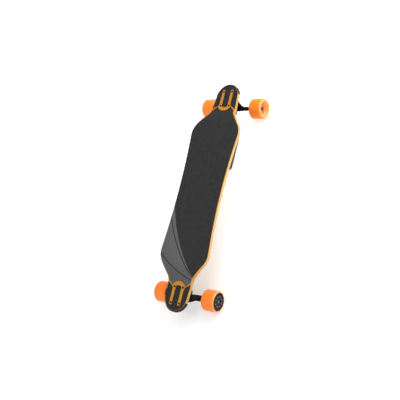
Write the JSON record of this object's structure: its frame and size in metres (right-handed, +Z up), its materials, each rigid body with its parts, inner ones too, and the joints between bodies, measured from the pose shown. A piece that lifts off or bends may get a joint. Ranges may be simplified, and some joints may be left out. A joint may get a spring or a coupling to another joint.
{
  "type": "electric skateboard",
  "caption": "Electric longboard: drop-platform maple deck, steering kingpin trucks, urethane wheels, hub motors at the rear, battery and controller cases below.",
  "frame": {"origin": "on the ground under the middle of the board, standing on its wheels at rest", "axes": "+X to the nose, +Y to the rider's left, +Z up"},
  "size_m": [0.9746, 0.2954, 0.1458],
  "materials": {
    "stained_veneer": "orange stain under satin lacquer",
    "maple_core": "clear satin lacquer, ply lines along the edge",
    "clear_veneer": "clear satin lacquer",
    "grip_tape": "coarse grit",
    "guard_rubber": "matt moulded",
    "cast_black": "satin black over cast aluminium",
    "cup_plastic": "matt",
    "zinc_steel": "zinc plated",
    "bushing_urethane": "satin",
    "black_steel": "black oxide",
    "case_plastic": "textured moulded",
    "cell_can": "blue shrink sleeve over steel can",
    "board": "solder mask",
    "gasket_foam": "closed-cell foam",
    "capacitor_can": "sleeved can",
    "bare_aluminium": "machined",
    "port_plastic": "satin",
    "wire_sleeve": "silicone sleeve",
    "lamination_steel": "laminated",
    "copper": "enamelled wire",
    "wheel_urethane": "satin moulded",
    "wheel_core": "satin moulded",
    "bearing_steel": "polished races, black shields",
    "motor_can": "black anodised",
    "magnet_nickel": "nickel plated",
    "button_metal": "satin",
    "cap_rubber": "matt"
  },
  "bodies": {
    "deck": {"top_veneer": "stained_veneer", "deck_core": "maple_core", "bottom_veneer": "clear_veneer", "grip_main": "grip_tape", "grip_nose": "grip_tape", "grip_tail": "grip_tape", "nose_guard": "guard_rubber", "tail_guard": "guard_rubber", "front_baseplate": "cast_black", "rear_baseplate": "cast_black", "pivot_cups": "cup_plastic", "kingpins": "zinc_steel", "kingpin_nuts": "zinc_steel", "bushing_washers": "zinc_steel", "front_bushings": "bushing_urethane", "rear_bushings": "bushing_urethane", "mounting_bolts": "black_steel", "mounting_nuts": "zinc_steel", "battery_case": "case_plastic", "battery_cells": "cell_can", "bms_board": "board", "case_gaskets": "gasket_foam", "esc_case": "case_plastic", "esc_board": "board", "esc_capacitors": "capacitor_can", "heat_spreader": "bare_aluminium", "charge_port": "port_plastic", "wire_channel": "case_plastic", "power_wires": "wire_sleeve", "underside_screws": "black_steel"},
    "front_hanger": {"front_hanger": "cast_black", "front_axle": "zinc_steel", "front_axle_hardware": "zinc_steel"},
    "rear_hanger": {"rear_hanger": "cast_black", "rear_axle": "zinc_steel", "rear_axle_hardware": "zinc_steel", "stators": "lamination_steel", "motor_windings": "copper"},
    "front_left_wheel": {"front_left_tyre": "wheel_urethane", "front_left_core": "wheel_core", "front_left_bearings": "bearing_steel"},
    "front_right_wheel": {"front_right_tyre": "wheel_urethane", "front_right_core": "wheel_core", "front_right_bearings": "bearing_steel"},
    "rear_left_wheel": {"rear_left_sleeve": "wheel_urethane", "rear_left_rotor": "motor_can", "rear_left_back_plate": "motor_can", "rear_left_magnets": "magnet_nickel", "rear_left_cover": "motor_can", "rear_left_cover_screws": "zinc_steel", "rear_left_bearings": "bearing_steel"},
    "rear_right_wheel": {"rear_right_sleeve": "wheel_urethane", "rear_right_rotor": "motor_can", "rear_right_back_plate": "motor_can", "rear_right_magnets": "magnet_nickel", "rear_right_cover": "motor_can", "rear_right_cover_screws": "zinc_steel", "rear_right_bearings": "bearing_steel"},
    "power_button": {"power_button": "button_metal"},
    "charge_cap": {"charge_cap": "cap_rubber"}
  },
  "joints": [
    {"name": "front_steer", "type": "hinge", "parent": "deck", "child": "front_hanger", "pos_m": [0.39455, 0, 0.03755], "axis": [0.7071, 0, 0.7071], "range_deg": [-18, 18], "stiffness_Nm_per_rad": 45, "deforming": ["front_bushings"]},
    {"name": "rear_steer", "type": "hinge", "parent": "deck", "child": "rear_hanger", "pos_m": [-0.39455, 0, 0.03755], "axis": [-0.7071, 0, 0.7071], "range_deg": [-18, 18], "stiffness_Nm_per_rad": 45, "deforming": ["rear_bushings"]},
    {"name": "front_left_spin", "type": "hinge", "parent": "front_hanger", "child": "front_left_wheel", "pos_m": [0.4094, 0.1187, 0.0425], "axis": [0, 1, 0], "continuous": true},
    {"name": "front_right_spin", "type": "hinge", "parent": "front_hanger", "child": "front_right_wheel", "pos_m": [0.4094, -0.1187, 0.0425], "axis": [0, 1, 0], "continuous": true},
    {"name": "rear_left_spin", "type": "hinge", "parent": "rear_hanger", "child": "rear_left_wheel", "pos_m": [-0.4094, 0.1187, 0.0425], "axis": [0, 1, 0], "continuous": true},
    {"name": "rear_right_spin", "type": "hinge", "parent": "rear_hanger", "child": "rear_right_wheel", "pos_m": [-0.4094, -0.1187, 0.0425], "axis": [0, 1, 0], "continuous": true},
    {"name": "power_press", "type": "slide", "parent": "deck", "child": "power_button", "axis": [0, -1, 0], "range_m": [0, 0.0012], "stiffness_N_per_m": 600},
    {"name": "charge_cap_hinge", "type": "hinge", "parent": "deck", "child": "charge_cap", "pos_m": [-0.1528, 0.0708, 0.113], "axis": [0, 0, 1], "range_deg": [0, 110]}
  ]
}
